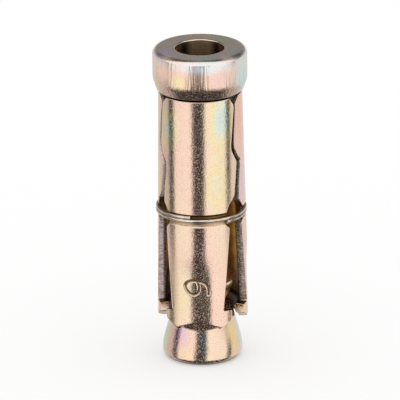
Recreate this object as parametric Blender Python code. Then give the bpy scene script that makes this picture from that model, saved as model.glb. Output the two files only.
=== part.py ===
"""Expansion shield anchor, M6: a ferrule, three interlocking shield segments, a wire ring and a cone nut.

The anchor stands on its nut, with its axis on Z and the nut's base at the origin. The segments hang by their
necks from the ferrule's rolled-in lip. Drawing the nut up wedges their feet apart in the drilled hole.
"""

import math

import bmesh
import bpy
from mathutils import Matrix, Vector

MM = 0.001

# Clearance between pieces that touch or nearly touch
RUNNING_GAP = 0.3 * MM

# Cone nut
NUT_HEIGHT = 11.3 * MM
NUT_BASE_RADIUS = 5.42 * MM
NUT_BASE_FILLET = 0.7 * MM
CONE_START_HEIGHT = 1.9 * MM
CONE_SLOPE = 0.27
CONE_BLEND_RADIUS = 7.0 * MM
CONE_LENGTH = 5.3 * MM
NUT_WAIST_RADIUS = 3.2 * MM
NUT_WAIST_HEIGHT = 0.7 * MM
NUT_HEAD_THICKNESS = 0.35 * MM
NUT_EDGE_ROUND = 0.12 * MM
NUT_BORE_RADIUS = 2.5 * MM
NUT_BORE_CHAMFER = 0.45 * MM

# Shield segments, as they lie closed together
SEGMENT_COUNT = 3
SHELL_RADIUS = 5.65 * MM
SHELL_THICKNESS = 1.15 * MM
FOOT_UNDERSIDE = 5.5 * MM
FOOT_HEIGHT = 2.7 * MM
FOOT_DEPTH = 0.5 * MM
FOOT_TAPER = 0.28 * MM
FOOT_CORNER_HEIGHT = 0.95 * MM
FOOT_BEVEL_HEIGHT = 0.8 * MM
FOOT_BEVEL_DEPTH = 0.3 * MM
LEG_LENGTH = 12.05 * MM
LEG_CORNER_HEIGHT = 0.6 * MM
GROOVE_WIDTH = 2.1 * MM
GROOVE_DEPTH = 0.5 * MM
GROOVE_WALL = 0.3 * MM
UPPER_LENGTH = 15.75 * MM
STEP_HEIGHT = 0.15 * MM
REST_LEAN = math.radians(0.9)

# Angles in degrees that a segment spans round the shell, left then right of its centre
FOOT_BOTTOM_SPAN = (-32, 33)
FOOT_SPAN = (-54, 53)
LEG_BOTTOM_SPAN = (-40, 37)
LEG_TOP_SPAN = (-49.5, 48.5)
GROOVE_NOTCH_SPAN = (-44, 42)
NECK_SPAN = (-50, 50)

# Seam above the groove: share of the upper length below the shoulder, and degrees from the segment's centre
LEFT_SEAM = (
    (0.0, -48.5),
    (0.068, -58.5),
    (0.33, -62.3),
    (0.465, -62.5),
    (0.52, -58.0),
    (0.57, -50.2),
    (0.655, -50.2),
    (0.77, -54.8),
    (0.93, -57.0),
    (1.0, -47.5),
)
RIGHT_SEAM = (
    (0.0, 48.0),
    (0.068, 57.0),
    (0.10, 57.6),
    (0.42, 49.7),
    (0.465, 51.0),
    (0.525, 57.6),
    (0.58, 63.6),
    (0.755, 60.6),
    (0.87, 58.0),
    (0.94, 47.0),
    (1.0, 43.5),
)

# Ferrule
FERRULE_RADIUS = 6.4 * MM
FERRULE_HEIGHT = 5.6 * MM
FERRULE_TOP_ROUND = 0.75 * MM
FERRULE_HOLE_RADIUS = 3.35 * MM
FERRULE_HOLE_ROUND = 0.15 * MM
PLATE_THICKNESS = 2.4 * MM
FERRULE_WALL = 1.1 * MM
LIP_THICKNESS = 0.8 * MM
LIP_OVERLAP = 0.25 * MM
ROLL_HEIGHT = 1.1 * MM
ROLL_DEPTH = 0.52 * MM
ROLL_RADIUS = 2.5 * MM
NECK_THICKNESS = 0.95 * MM

# Wire ring
WIRE_DIAMETER = 0.45 * MM
WIRE_PITCH = 0.57 * MM
WIRE_END_ANGLE = -8
WIRE_OVERLAP_ANGLE = 100

# Facets
ROUND_STEPS = 48
FILLET_STEPS = 4
SEGMENT_COLUMNS = 12
WIRE_STEPS_PER_TURN = 48

# Heights that follow from the sizes above
FOOT_TOP = FOOT_UNDERSIDE + FOOT_HEIGHT
GROOVE_BOTTOM = FOOT_TOP + LEG_LENGTH
GROOVE_TOP = GROOVE_BOTTOM + GROOVE_WIDTH
SHOULDER = GROOVE_TOP + UPPER_LENGTH
LIP_BOTTOM = SHOULDER + RUNNING_GAP
LIP_TOP = LIP_BOTTOM + LIP_THICKNESS
PIVOT_HEIGHT = LIP_BOTTOM + LIP_THICKNESS / 2
TOTAL_HEIGHT = LIP_BOTTOM + FERRULE_HEIGHT
PLATE_UNDERSIDE = TOTAL_HEIGHT - PLATE_THICKNESS

# Radii that follow from the sizes above
SHELL_INNER_RADIUS = SHELL_RADIUS - SHELL_THICKNESS
FOOT_INNER_RADIUS = SHELL_INNER_RADIUS - FOOT_DEPTH
GROOVE_RADIUS = SHELL_RADIUS - GROOVE_DEPTH
COUNTERBORE_RADIUS = FERRULE_RADIUS - FERRULE_WALL
NECK_HEAD_RADIUS = COUNTERBORE_RADIUS - RUNNING_GAP
LIP_RADIUS = NECK_HEAD_RADIUS - LIP_OVERLAP
NECK_RADIUS = LIP_RADIUS - RUNNING_GAP
NECK_INNER_RADIUS = NECK_RADIUS - NECK_THICKNESS


def clear_scene():
    """Removes whatever the scene holds."""
    for obj in list(bpy.data.objects):
        bpy.data.objects.remove(obj, do_unlink=True)


def metal(name, colour, roughness):
    """Returns a Principled metal."""
    material = bpy.data.materials.new(name)
    material.use_nodes = True
    shader = material.node_tree.nodes["Principled BSDF"]
    shader.inputs["Base Color"].default_value = (*colour, 1)
    shader.inputs["Metallic"].default_value = 1
    shader.inputs["Roughness"].default_value = roughness
    return material


def add_object(name, data, material):
    """Links a mesh or curve as an object with one material."""
    data.materials.append(material)
    obj = bpy.data.objects.new(name, data)
    bpy.context.scene.collection.objects.link(obj)
    return obj


def fillet_points(before, corner, after, radius):
    """Returns the arc of this radius in the corner, shortened where a side is too short for it."""
    to_before = (before - corner).normalized()
    to_after = (after - corner).normalized()
    half_angle = to_before.angle(to_after) / 2
    reach = radius / math.tan(half_angle)
    longest = 0.49 * min((before - corner).length, (after - corner).length)
    reach = min(reach, longest)
    radius = reach * math.tan(half_angle)
    bisector = (to_before + to_after).normalized()
    centre = corner + bisector * (radius / math.sin(half_angle))
    start = corner + to_before * reach - centre
    end = corner + to_after * reach - centre
    sweep = start.angle_signed(end)
    return [centre + Matrix.Rotation(-sweep * i / FILLET_STEPS, 2) @ start for i in range(FILLET_STEPS + 1)]


def rounded_profile(corners):
    """Returns a closed outline from corners of (radius from the axis, height, fillet radius)."""
    outline = []
    for i, (radius, height, fillet) in enumerate(corners):
        corner = Vector((radius, height))
        if fillet:
            before = Vector(corners[i - 1][:2])
            after = Vector(corners[(i + 1) % len(corners)][:2])
            outline += fillet_points(before, corner, after, fillet)
        else:
            outline.append(corner)
    return outline


def turned_mesh(name, corners):
    """Spins a closed profile about Z."""
    bm = bmesh.new()
    ring = [bm.verts.new((point.x, 0, point.y)) for point in rounded_profile(corners)]
    edges = [bm.edges.new((ring[i - 1], ring[i])) for i in range(len(ring))]
    bmesh.ops.spin(
        bm,
        geom=ring + edges,
        cent=(0, 0, 0),
        axis=(0, 0, 1),
        angle=2 * math.pi,
        steps=ROUND_STEPS,
        use_merge=True,
    )
    return finished_mesh(name, bm)


def finished_mesh(name, bm):
    """Turns a bmesh into a smooth-shaded mesh whose faces point out."""
    bmesh.ops.recalc_face_normals(bm, faces=bm.faces)
    mesh = bpy.data.meshes.new(name)
    bm.to_mesh(mesh)
    bm.free()
    mesh.shade_smooth()
    mesh.set_sharp_from_angle(angle=math.radians(35))
    return mesh


def add_cone_nut(material):
    """The threaded nut: a cone that the feet ride on, a waist, and a head that the feet can't pass."""
    cone_top = CONE_START_HEIGHT + CONE_LENGTH
    head_bottom = NUT_HEIGHT - NUT_HEAD_THICKNESS
    corners = [
        (NUT_BORE_RADIUS, NUT_HEIGHT - NUT_BORE_CHAMFER, 0),
        (NUT_BORE_RADIUS + NUT_BORE_CHAMFER, NUT_HEIGHT, 0),
        (nut_head_radius(), NUT_HEIGHT, NUT_EDGE_ROUND),
        (nut_head_radius(), head_bottom, NUT_EDGE_ROUND),
        (NUT_WAIST_RADIUS, cone_top + NUT_WAIST_HEIGHT, 0),
        (NUT_BASE_RADIUS - CONE_LENGTH * CONE_SLOPE, cone_top, 0),
        (NUT_BASE_RADIUS, CONE_START_HEIGHT, CONE_BLEND_RADIUS),
        (NUT_BASE_RADIUS, 0, NUT_BASE_FILLET),
        (NUT_BORE_RADIUS + NUT_BORE_CHAMFER, 0, 0),
        (NUT_BORE_RADIUS, NUT_BORE_CHAMFER, 0),
    ]
    return add_object("cone_nut", turned_mesh("cone_nut", corners), material)


def nut_head_radius():
    """The head clears the legs by the running gap, at the edges of the leaning segments."""
    shift = (PIVOT_HEIGHT - NUT_HEIGHT) * math.sin(REST_LEAN)
    return SHELL_INNER_RADIUS + shift * math.cos(math.radians(LEG_BOTTOM_SPAN[0])) - RUNNING_GAP


def add_ferrule(material):
    """The collar: a thick top plate with the bolt's hole, and a skirt rolled in under the segments' necks."""
    corners = [
        (FERRULE_HOLE_RADIUS, TOTAL_HEIGHT, FERRULE_HOLE_ROUND),
        (FERRULE_RADIUS, TOTAL_HEIGHT, FERRULE_TOP_ROUND),
        (FERRULE_RADIUS, LIP_BOTTOM + ROLL_HEIGHT, ROLL_RADIUS),
        (FERRULE_RADIUS - ROLL_DEPTH, LIP_BOTTOM, 0),
        (LIP_RADIUS, LIP_BOTTOM, 0),
        (LIP_RADIUS, LIP_TOP, 0),
        (COUNTERBORE_RADIUS, LIP_TOP, 0),
        (COUNTERBORE_RADIUS, PLATE_UNDERSIDE, 0),
        (FERRULE_HOLE_RADIUS, PLATE_UNDERSIDE, 0),
    ]
    return add_object("ferrule", turned_mesh("ferrule", corners), material)


def seam_levels(seam):
    """Returns (height, degrees) along one side of the upper part, from the groove up to the shoulder."""
    return [(SHOULDER - share * UPPER_LENGTH, degrees) for share, degrees in reversed(seam)]


def angle_at(levels, height):
    """Reads a side's angle at a height between its points."""
    for (low, low_angle), (high, high_angle) in zip(levels, levels[1:]):
        if height <= high:
            share = max(0.0, (height - low) / (high - low))
            return low_angle + share * (high_angle - low_angle)
    return levels[-1][1]


def segment_sections():
    """Returns the cross-sections of a closed segment from its foot up.

    Each is (height, left, right, outer radius, inner radius, crown, dish): crown raises the middle of the outer
    arc and dish draws it in.
    """
    corner_top = FOOT_UNDERSIDE + FOOT_CORNER_HEIGHT
    foot_low = FOOT_INNER_RADIUS + FOOT_TAPER
    sections = [
        (FOOT_UNDERSIDE, *FOOT_BOTTOM_SPAN, SHELL_RADIUS, foot_low, 0, FOOT_BEVEL_DEPTH),
        (FOOT_UNDERSIDE + STEP_HEIGHT, *FOOT_BOTTOM_SPAN, SHELL_RADIUS, foot_low, FOOT_BEVEL_HEIGHT, 0),
        (corner_top, *FOOT_SPAN, SHELL_RADIUS, foot_low, STEP_HEIGHT, 0),
        (FOOT_TOP - STEP_HEIGHT, *FOOT_SPAN, SHELL_RADIUS, FOOT_INNER_RADIUS, 0, 0),
        (FOOT_TOP, *LEG_BOTTOM_SPAN, SHELL_RADIUS, SHELL_INNER_RADIUS, 0, 0),
        (GROOVE_BOTTOM - LEG_CORNER_HEIGHT, *LEG_TOP_SPAN, SHELL_RADIUS, SHELL_INNER_RADIUS, 0, 0),
        (GROOVE_BOTTOM, *GROOVE_NOTCH_SPAN, SHELL_RADIUS, SHELL_INNER_RADIUS, 0, 0),
        (GROOVE_BOTTOM + GROOVE_WALL, *GROOVE_NOTCH_SPAN, GROOVE_RADIUS, SHELL_INNER_RADIUS, 0, 0),
        (GROOVE_TOP - GROOVE_WALL, *GROOVE_NOTCH_SPAN, GROOVE_RADIUS, SHELL_INNER_RADIUS, 0, 0),
    ]
    left = seam_levels(LEFT_SEAM)
    right = seam_levels(RIGHT_SEAM)
    joggle_top = SHOULDER - RUNNING_GAP
    joggle_bottom = joggle_top - (SHELL_INNER_RADIUS - NECK_INNER_RADIUS)
    heights = sorted({height for height, _ in left + right} | {joggle_bottom, joggle_top})
    for height in heights:
        share = (height - joggle_bottom) / (joggle_top - joggle_bottom)
        share = min(1.0, max(0.0, share))
        inner = SHELL_INNER_RADIUS + share * (NECK_INNER_RADIUS - SHELL_INNER_RADIUS)
        sections.append((height, angle_at(left, height), angle_at(right, height), SHELL_RADIUS, inner, 0, 0))
    head_bottom = LIP_TOP + RUNNING_GAP
    neck_head_top = PLATE_UNDERSIDE - RUNNING_GAP
    sections += [
        (SHOULDER, *NECK_SPAN, NECK_RADIUS, NECK_INNER_RADIUS, 0, 0),
        (head_bottom, *NECK_SPAN, NECK_RADIUS, NECK_INNER_RADIUS, 0, 0),
        (head_bottom, *NECK_SPAN, NECK_HEAD_RADIUS, NECK_INNER_RADIUS, 0, 0),
        (neck_head_top, *NECK_SPAN, NECK_HEAD_RADIUS, NECK_INNER_RADIUS, 0, 0),
    ]
    return sections


def section_loop(bm, section):
    """Adds one cross-section's points: the outer arc from left to right, then the inner arc back."""
    height, left, right, outer, inner, crown, dish = section
    loop = []
    for i in range(SEGMENT_COLUMNS + 1):
        share = i / SEGMENT_COLUMNS
        middle = 1 - (2 * share - 1) ** 2
        angle = math.radians(left + share * (right - left))
        radius = outer - dish * middle
        loop.append(bm.verts.new(segment_point(angle, radius, height + crown * middle)))
    for i in reversed(range(SEGMENT_COLUMNS + 1)):
        angle = math.radians(left + i / SEGMENT_COLUMNS * (right - left))
        loop.append(bm.verts.new(segment_point(angle, inner, height)))
    return loop


def segment_point(angle, radius, height):
    """A point of the closed segment, measured from its pivot. The segment's centre faces -Y."""
    return Vector((radius * math.sin(angle), NECK_RADIUS - radius * math.cos(angle), height - PIVOT_HEIGHT))


def segment_mesh():
    """Lofts the cross-sections into one closed body and caps its ends."""
    bm = bmesh.new()
    loops = [section_loop(bm, section) for section in segment_sections()]
    count = len(loops[0])
    for lower, upper in zip(loops, loops[1:]):
        for i in range(count):
            after = (i + 1) % count
            bm.faces.new((lower[i], lower[after], upper[after], upper[i]))
    for loop in (loops[0], loops[-1]):
        for i in range(SEGMENT_COLUMNS):
            bm.faces.new((loop[i], loop[i + 1], loop[-2 - i], loop[-1 - i]))
    return finished_mesh("shield_segment", bm)


def add_segments(material):
    """Places the segments round the axis, each leaning out about its pivot in the ferrule's lip."""
    mesh = segment_mesh()
    mesh.materials.append(material)
    for number in range(SEGMENT_COUNT):
        segment = bpy.data.objects.new(f"shield_segment_{number + 1}", mesh)
        turn = Matrix.Rotation(2 * math.pi * number / SEGMENT_COUNT, 4, "Z")
        pivot = Matrix.Translation((0, -NECK_RADIUS, PIVOT_HEIGHT))
        segment.matrix_world = turn @ pivot @ Matrix.Rotation(-REST_LEAN, 4, "X")
        bpy.context.scene.collection.objects.link(segment)


def add_wire_ring(material):
    """A sprung wire, a little over one turn, that lies in the segments' groove and holds them together."""
    curve = bpy.data.curves.new("wire_ring", "CURVE")
    curve.dimensions = "3D"
    curve.bevel_depth = WIRE_DIAMETER / 2
    curve.bevel_resolution = 1
    curve.use_fill_caps = True
    sweep = 360 + WIRE_OVERLAP_ANGLE
    steps = round(WIRE_STEPS_PER_TURN * sweep / 360)
    groove_middle = GROOVE_BOTTOM + GROOVE_WIDTH / 2
    shift = (PIVOT_HEIGHT - groove_middle) * math.sin(REST_LEAN)
    ring_radius = GROOVE_RADIUS + shift + RUNNING_GAP + WIRE_DIAMETER / 2
    spline = curve.splines.new("POLY")
    spline.points.add(steps)
    for i, point in enumerate(spline.points):
        turned = sweep * i / steps
        angle = math.radians(WIRE_END_ANGLE - sweep + turned)
        height = groove_middle + WIRE_PITCH * (turned - sweep / 2) / 360
        point.co = (ring_radius * math.sin(angle), -ring_radius * math.cos(angle), height, 1)
    return add_object("wire_ring", curve, material)


def main():
    clear_scene()
    plated = metal("yellow_zinc_plate", (0.80, 0.68, 0.47), 0.3)
    nut_metal = metal("yellow_zinc_nut", (0.79, 0.68, 0.52), 0.28)
    wire_metal = metal("spring_wire", (0.60, 0.54, 0.44), 0.35)
    add_ferrule(plated)
    add_segments(plated)
    add_wire_ring(wire_metal)
    add_cone_nut(nut_metal)


main()
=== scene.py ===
"""Looks of the shield anchor: smooth turned and pressed metal, studio light and camera."""

import math

import bpy
import numpy as np
from mathutils import Matrix, Vector


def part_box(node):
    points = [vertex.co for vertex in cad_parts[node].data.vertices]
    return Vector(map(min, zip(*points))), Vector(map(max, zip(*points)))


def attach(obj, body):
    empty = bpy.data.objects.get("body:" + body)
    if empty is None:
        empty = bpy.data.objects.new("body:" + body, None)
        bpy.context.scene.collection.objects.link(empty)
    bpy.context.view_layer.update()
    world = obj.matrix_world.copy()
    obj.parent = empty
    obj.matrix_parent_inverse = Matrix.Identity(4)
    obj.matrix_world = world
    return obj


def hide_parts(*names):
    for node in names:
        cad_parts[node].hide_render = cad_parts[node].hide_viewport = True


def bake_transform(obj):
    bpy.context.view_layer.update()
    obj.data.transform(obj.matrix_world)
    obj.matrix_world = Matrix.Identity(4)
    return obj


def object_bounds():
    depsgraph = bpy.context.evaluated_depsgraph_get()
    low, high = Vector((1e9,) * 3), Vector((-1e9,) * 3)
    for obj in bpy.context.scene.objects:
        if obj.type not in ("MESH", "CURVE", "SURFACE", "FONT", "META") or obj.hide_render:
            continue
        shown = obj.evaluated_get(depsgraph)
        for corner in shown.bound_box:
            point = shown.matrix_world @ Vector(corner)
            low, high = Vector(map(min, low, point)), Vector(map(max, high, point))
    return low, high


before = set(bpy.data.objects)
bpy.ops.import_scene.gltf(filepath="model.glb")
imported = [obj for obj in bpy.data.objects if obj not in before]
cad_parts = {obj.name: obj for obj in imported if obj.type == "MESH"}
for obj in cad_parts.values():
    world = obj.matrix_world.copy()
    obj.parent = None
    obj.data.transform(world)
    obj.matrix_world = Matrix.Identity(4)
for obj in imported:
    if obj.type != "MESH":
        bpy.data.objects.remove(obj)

CAD_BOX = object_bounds()
MM = 0.001

# Sizes read from the frame
TOTAL_HEIGHT = CAD_BOX[1].z
FERRULE_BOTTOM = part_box("ferrule")[0].z
FERRULE_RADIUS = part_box("ferrule")[1].x
NUT_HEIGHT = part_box("cone_nut")[1].z
NUT_BASE_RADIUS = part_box("cone_nut")[1].x
RING_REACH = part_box("wire_ring")[1].x
FOOT_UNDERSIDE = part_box("shield_segment_1")[0].z

# Ferrule
HOLE_RADIUS = 3.35 * MM
HOLE_ROUND = 0.15 * MM
TOP_ROUND = 0.75 * MM
PLATE_THICKNESS = 2.4 * MM
FERRULE_WALL = 1.1 * MM
LIP_THICKNESS = 0.8 * MM
LIP_OVERLAP = 0.25 * MM
ROLL_HEIGHT = 1.45 * MM
ROLL_DEPTH = 0.52 * MM
ROLL_RADIUS = 4.0 * MM
FERRULE_POINT_SPACING = 0.25 * MM
FERRULE_COLUMNS = 192

# Shield segments, with values in threes for the front, right and left one
RUNNING_GAP = 0.3 * MM
SHOULDER = FERRULE_BOTTOM - RUNNING_GAP
PIVOT_HEIGHT = FERRULE_BOTTOM + LIP_THICKNESS / 2
REST_LEAN = math.radians(0.9)
LOOSENESS = (0, math.radians(0.55), 0)
SHELL_RADIUS = 5.65 * MM
SHELL_THICKNESS = 1.15 * MM
FOOT_HEIGHT = 2.5 * MM
FOOT_TIP_RISES = (0.12 * MM, 0, 0)
FOOT_ROUNDS = (0.12 * MM, 0.7 * MM, 0.7 * MM)
FOOT_DEPTH = 0.5 * MM
FOOT_TAPER = 0.28 * MM
FOOT_CORNER_HEIGHT = 1.1 * MM
TOE_BEVEL_HEIGHT = 1.0 * MM
TOE_BEVEL_DEPTH = 0.42 * MM
TOE_BEVEL_REACH = 35
TOE_DROP = 0.32 * MM
TOE_FADE_HEIGHT = 1.0 * MM
LEAST_TOE_SHARE = 0.02
FOOT_STEP_HEIGHT = 0.15 * MM
FOOT_INNER_STEP_HEIGHT = 0.35 * MM
LEG_LENGTH = 12.25 * MM
LEG_CORNER_HEIGHT = 0.6 * MM
LEG_FLATTENING = 0.36 * MM
LEG_FLAT_CENTRE = 3
LEG_FLAT_REACH_LEFT = 38
LEG_FLAT_REACH_RIGHT = 23
LEG_FLAT_BELOW = 12.2 * MM
LEG_CURVED_ABOVE = 17 * MM
GROOVE_WIDTH = 1.8 * MM
GROOVE_DEPTH = 0.26 * MM
GROOVE_WALL = 0.3 * MM
NECK_THICKNESS = 0.95 * MM
EDGE_ROUND = 0.13 * MM
LEG_CORNER_ROUND = 0.25 * MM
SEAM_CORNER_ROUND = 0.7 * MM
SIDE_WAVE_DEPTH = 0.03 * MM
SIDE_WAVE_LENGTH = 1.6 * MM
TEETH_DEPTHS = (0.02 * MM, 0.006 * MM, 0.02 * MM)
TEETH_HEIGHT = 0.16 * MM
TEETH_LENGTH = 1.1 * MM
TEETH_START = 0.1 * MM
TORN_DEPTHS = (0.012 * MM, 0.03 * MM, 0.008 * MM)
TORN_GRAIN_SIZE = 0.22 * MM

FOOT_TOP = FOOT_UNDERSIDE + FOOT_HEIGHT
GROOVE_BOTTOM = FOOT_TOP + LEG_LENGTH
GROOVE_TOP = GROOVE_BOTTOM + GROOVE_WIDTH
UPPER_LENGTH = SHOULDER - GROOVE_TOP
SHELL_INNER_RADIUS = SHELL_RADIUS - SHELL_THICKNESS
FOOT_INNER_RADIUS = SHELL_INNER_RADIUS - FOOT_DEPTH
GROOVE_RADIUS = SHELL_RADIUS - GROOVE_DEPTH
COUNTERBORE_RADIUS = FERRULE_RADIUS - FERRULE_WALL
NECK_HEAD_RADIUS = COUNTERBORE_RADIUS - RUNNING_GAP
LIP_RADIUS = NECK_HEAD_RADIUS - LIP_OVERLAP
NECK_RADIUS = LIP_RADIUS - RUNNING_GAP
NECK_INNER_RADIUS = NECK_RADIUS - NECK_THICKNESS

# Spacing of a segment's points: heights, degrees round the shell and counts of columns
LEVEL_STEP = 0.125 * MM
STAMP_LEVEL_STEP = 0.06 * MM
LEAST_RISE = 0.02 * MM
LEAST_SPACING = 0.006 * MM
COLUMN_STEP = 1.6
STAMP_COLUMN_STEP = 0.72
EVEN_COLUMNS_REACH = 29
SIDE_COLUMNS = 22
ROUND_COLUMNS = 5
CUT_COLUMNS = 10
INNER_COLUMNS = 31
SAME_ANGLE = 1e-5

# Where a segment's plate gives way to its sheltered finish: share of the groove's lower wall, and heights
GROOVE_WALL_PLATED = 0.95
NOTCH_BELOW = 0.2 * MM
NOTCH_ABOVE = 1.0 * MM
HEIGHT_MARGIN = 0.01 * MM

# Seam above the groove: share of the upper length below the shoulder, and degrees from the segment's centre
LEFT_SEAM = (
    (0.0, -49.0), (0.068, -59.7), (0.33, -64.0), (0.42, -65.0), (0.465, -64.4), (0.52, -59.3), (0.57, -51.2),
    (0.655, -51.2), (0.77, -55.2), (0.93, -57.4), (1.0, -47.5),
)
RIGHT_SEAM = (
    (0.0, 48.5), (0.068, 57.8), (0.10, 58.3), (0.42, 52.0), (0.465, 52.8), (0.525, 58.6),
    (0.58, 64.6), (0.755, 61.2), (0.87, 58.5), (0.94, 47.0), (1.0, 43.5),
)
# Foot, leg and groove: height above the foot's underside, and degrees
LEFT_LEG = (
    (0.0, -32), (FOOT_CORNER_HEIGHT, -54), (FOOT_HEIGHT - FOOT_STEP_HEIGHT, -54), (FOOT_HEIGHT, -41.5),
    (FOOT_HEIGHT + LEG_LENGTH - LEG_CORNER_HEIGHT, -51.8), (FOOT_HEIGHT + LEG_LENGTH, -46),
)
RIGHT_LEG = (
    (0.0, 33), (FOOT_CORNER_HEIGHT, 52), (FOOT_HEIGHT - FOOT_STEP_HEIGHT, 52), (FOOT_HEIGHT, 37),
    (FOOT_HEIGHT + LEG_LENGTH - LEG_CORNER_HEIGHT, 48.5), (FOOT_HEIGHT + LEG_LENGTH, 42),
)

# Numbers of a segment's materials
PLATE = 0
CUT = 1
RECESS = 2

# Stamped numeral on the front leg, which reads sideways: millimetres round the shell and up from its middle
NUMERAL_MIDDLE = 11.3 * MM
NUMERAL_LINE = (
    (1.46, -0.73), (1.50, -0.43), (1.49, -0.14), (1.42, 0.26), (1.21, 0.67), (0.82, 0.95), (0.36, 1.10),
    (-0.15, 1.17), (-0.62, 1.22), (-1.09, 1.20), (-1.54, 1.07), (-1.86, 0.78), (-1.97, 0.45), (-1.93, 0.24),
    (-1.81, 0.00), (-1.66, -0.22), (-1.45, -0.47), (-1.12, -0.69), (-0.72, -0.78), (-0.35, -0.69),
    (-0.08, -0.44), (0.06, -0.08), (0.08, 0.32), (-0.02, 0.74), (-0.22, 1.12),
)
NUMERAL_REACH = 1.5 * MM
NUMERAL_STROKE = 0.26 * MM
NUMERAL_DEPTH = 0.2 * MM
NUMERAL_POINTS_PER_RUN = 4
NUMERAL_SMOOTHINGS = 3

# Wire ring
WIRE_RADIUS = 0.25 * MM
WIRE_PITCH = 0.5 * MM
WIRE_LIFT = 0.085 * MM
WIRE_END_ANGLE = -9.5
WIRE_OVERLAP_ANGLE = 310
WIRE_STEP_ANGLE = 1.5
WIRE_SIDES = 24
SEGMENT_ANGLE = 120

# Cone nut
NUT_BASE_FILLET = 1.0 * MM
CONE_START_HEIGHT = 1.9 * MM
CONE_SLOPE = 0.27
CONE_BLEND_RADIUS = 7.0 * MM
CONE_LENGTH = 5.3 * MM
NUT_WAIST_RADIUS = 3.2 * MM
NUT_WAIST_HEIGHT = 0.7 * MM
NUT_HEAD_THICKNESS = 0.35 * MM
NUT_HEAD_RADIUS = 4.53 * MM
NUT_BORE_RADIUS = 2.5 * MM
NUT_BORE_CHAMFER = 0.45 * MM
THREAD_PITCH = 1.0 * MM
THREAD_DEPTH = 0.54 * MM
THREAD_STEEPNESS = 1.25
THREAD_CREST = 0.12
NUT_POINT_SPACING = 0.08 * MM
NUT_COLUMNS = 144

# Camera, in millimetres and degrees
CAMERA_DISTANCE = 850
CAMERA_AZIMUTH = 5
CAMERA_ELEVATION = 20
CAMERA_ROLL = -0.6
CAMERA_AIM = (-0.17, 0, 22.16)
PIXELS_PER_MM = 7.38
FRAME_PIXELS = 400
SENSOR_WIDTH = 36

# Smoothing and noise
SHARP_DEGREES = 40
NEARLY_STRAIGHT = math.radians(89.5)
LONGEST_FILLET_SHARE = 0.49
NOISE_CELLS = 64
SIDE_SEED = 11
SIDE_NOISE_ROW = 3.5
TEETH_SEED = 31
TORN_SEED = 57

# Colours of the plate as the passivate thickens, and of painted shade in crevices, seams, the stamped
# groove, corners and towards the feet
BLUE = (0.64, 0.73, 0.71)
GREEN = (0.75, 0.77, 0.62)
YELLOW = (0.89, 0.72, 0.43)
CREAM = (0.90, 0.70, 0.50)
PEACH = (0.91, 0.645, 0.51)
PINK = (0.89, 0.60, 0.56)
VIOLET = (0.82, 0.59, 0.70)
PLATE_COLOURS = (
    (0.0, BLUE), (0.13, GREEN), (0.27, YELLOW), (0.4, CREAM), (0.52, PEACH), (0.66, PEACH), (0.78, PINK),
    (0.9, VIOLET), (1.0, BLUE),
)
PAINTED_CREVICE_SHADE = (0.05, 0.035, 0.02)
PAINTED_SEAM_SHADE = (0.15, 0.065, 0.035)
PAINTED_STAMP_SHADE = (0.16, 0.10, 0.05)
PAINTED_CORNER_SHADE = (0.03, 0.015, 0.01)
PAINTED_FOOT_SHADE = (0.06, 0.03, 0.02)

# Half size, in millimetres, of a patch that covers everything at its height
EVERYWHERE = 90

# Fineness and depth of the surface textures, and reach of the painted shade in crevices
WANDER_SCALE = 210
WEAR_SCALE = 900
BLOTCH_SCALE = 850
PLATE_GRAIN_SCALE = 4300
DULL_GRAIN_SCALE = 3800
BROAD_GRAIN = 0.22
BROAD_DEPTH = 0.7
PIT_SCALE = 6300
PITS_FULL = 0.68
TOOTH_SCALE = (800, 800, 6000)
TOOTH_DEPTH = 1.3
TURNING_SCALE = (4300, 4300, 200)
TURNING_DEPTH = 4.6
WIRE_TONE_SCALE = 700
WIRE_GRAIN_SCALE = 7000
GRAIN_DEPTH = 0.026 * MM
WIRE_GRAIN_DEPTH = 0.03 * MM
DULL_TILT = 0.7
SHEARED_TILT = 1.2
SPECK_TONE = 0.86
STAMP_SHADE_STRENGTH = 0.85
SHELTER_SAMPLES = 6
PLATE_SHELTER = 0.7 * MM
DULL_SHELTER = 1.2 * MM
TORN_FADE = 0.25 * MM

# Studio in reflections: degrees round from the camera, or up, and brightness, and fades in degrees
STUDIO_ROUND = (
    (-180, 0.8), (-130, 0.62), (-101, 0.58), (-95, 0.06), (-82, 0.05), (-76, 1.0), (-27, 1.12), (-21, 0.05),
    (7, 0.05), (13, 1.12), (71.5, 1.05), (76.5, 0.06), (87, 0.06), (92, 0.85), (130, 0.8), (180, 0.8),
)
STUDIO_UP = ((0, 0.26), (22, 0.22), (28, 0.05), (68, 0.05), (78, 1.1))
STUDIO_SIDE = 1.12
FLOOR_FRONT = 0.045
FLOOR_BACK = 0.5
FLAG_SLANT = -0.12
FLAG_TOP_FALL = 0.06
SIDE_FADE = (85, 110)
FLOOR_FADE = (106, 80)
FLAG_TOP_FADE = (14, 23)
HORIZON_FADE = (-27, -38)

# Floor: half its width in metres, its own tone for the camera and the light it adds to it
FLOOR_HALF_SIZE = 3
FLOOR_TONE = 0.6
FLOOR_GLOW = 0.4


def link(obj):
    """Puts an object in the scene."""
    bpy.context.scene.collection.objects.link(obj)
    return obj


def mesh_object(name, points, faces, materials, finish=None):
    """Makes a smooth-shaded mesh object. The finish gives each face the number of its material."""
    mesh = bpy.data.meshes.new(name)
    mesh.from_pydata([tuple(p) for p in points], [], faces)
    mesh.update()
    for material in materials:
        mesh.materials.append(material)
    if finish is not None:
        mesh.polygons.foreach_set("material_index", np.asarray(finish, dtype=np.int32))
    mesh.shade_smooth()
    mesh.set_sharp_from_angle(angle=math.radians(SHARP_DEGREES))
    return link(bpy.data.objects.new(name, mesh))


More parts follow.
